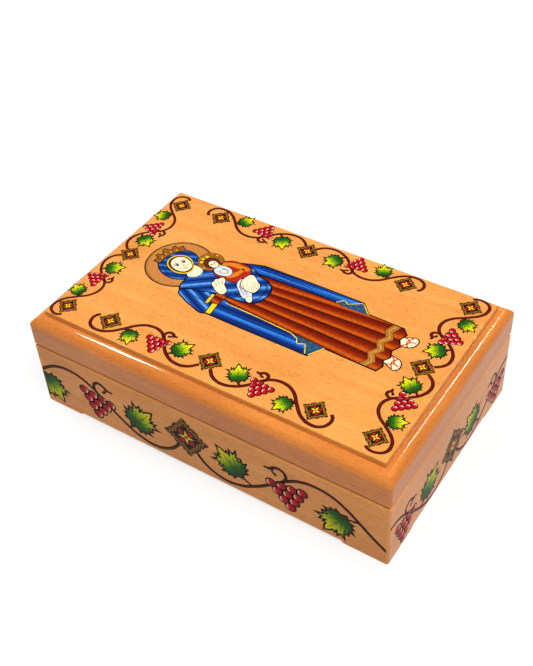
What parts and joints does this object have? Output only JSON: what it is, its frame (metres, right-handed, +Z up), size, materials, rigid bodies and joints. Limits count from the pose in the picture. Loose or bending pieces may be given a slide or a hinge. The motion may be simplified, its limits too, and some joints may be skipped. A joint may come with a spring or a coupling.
{
  "type": "keepsake box",
  "caption": "Painted wooden keepsake box on corner feet, with a hinged moulded lid, a raised lid panel and a hollow inside.",
  "frame": {"origin": "on the surface that the box stands on, under the centre of its bounding box", "axes": "+X along the long side, +Y towards the hinged back, +Z up"},
  "size_m": [0.24, 0.15, 0.0715],
  "materials": {
    "varnished_beech": "glossy clear varnish over beech",
    "plywood_floor": "satin, thin varnish over birch plywood",
    "hinge_brass": "drawn, lightly polished",
    "screw_brass": "turned, slotted"
  },
  "bodies": {
    "base": {"front_wall": "varnished_beech", "right_wall": "varnished_beech", "back_wall": "varnished_beech", "left_wall": "varnished_beech", "floor_panel": "plywood_floor", "left_hinge_base_leaf": "hinge_brass", "left_hinge_pin": "hinge_brass", "left_hinge_base_screws": "screw_brass", "right_hinge_base_leaf": "hinge_brass", "right_hinge_pin": "hinge_brass", "right_hinge_base_screws": "screw_brass"},
    "lid": {"lid_front_rail": "varnished_beech", "lid_right_rail": "varnished_beech", "lid_back_rail": "varnished_beech", "lid_left_rail": "varnished_beech", "lid_panel": "varnished_beech", "left_hinge_lid_leaf": "hinge_brass", "left_hinge_lid_screws": "screw_brass", "right_hinge_lid_leaf": "hinge_brass", "right_hinge_lid_screws": "screw_brass"}
  },
  "joints": [
    {"name": "lid_hinge", "type": "hinge", "parent": "base", "child": "lid", "pos_m": [0, 0.073, 0.0475], "axis": [-1, 0, 0], "range_deg": [0, 100]}
  ]
}
